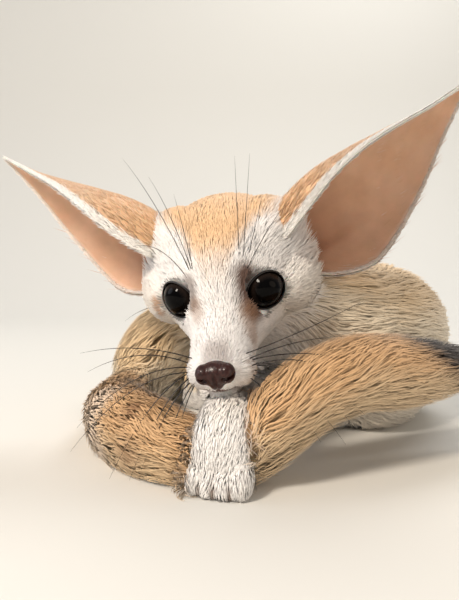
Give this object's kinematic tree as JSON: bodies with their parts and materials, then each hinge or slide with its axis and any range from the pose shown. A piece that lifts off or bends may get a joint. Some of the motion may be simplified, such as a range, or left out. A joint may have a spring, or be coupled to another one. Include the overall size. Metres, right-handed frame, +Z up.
{
  "type": "fennec fox figure",
  "caption": "Life-size fennec fox lying curled on its belly, tail round in front, one forepaw laid over it, large ears spread.",
  "frame": {"origin": "on the floor, in the flat under the chest", "axes": "+Z up, the face looks towards -Y and the animal's left side is towards +X"},
  "size_m": [0.2333, 0.2531, 0.1603],
  "materials": {
    "coat_sandy": "soft sandy fur",
    "coat_cream": "soft cream to white fur",
    "coat_dark": "dark brown fur of the tail tip",
    "ear_leaf": "thin skin, sandy short fur behind and pink within",
    "eye": "wet, very dark brown",
    "nose_skin": "moist pebbled skin"
  },
  "bodies": {
    "root": {"head": "coat_cream", "neck": "coat_cream", "torso_front": "coat_sandy", "torso_rear": "coat_sandy", "tail_base": "coat_sandy", "tail_bend": "coat_sandy", "tail_front": "coat_sandy", "tail_tip": "coat_dark", "leg_front_left": "coat_cream", "leg_front_right": "coat_cream", "leg_hind_left": "coat_cream", "leg_hind_right": "coat_cream", "ear_left": "ear_leaf", "ear_right": "ear_leaf", "eye_left": "eye", "eye_right": "eye", "nose": "nose_skin"}
  },
  "joints": []
}
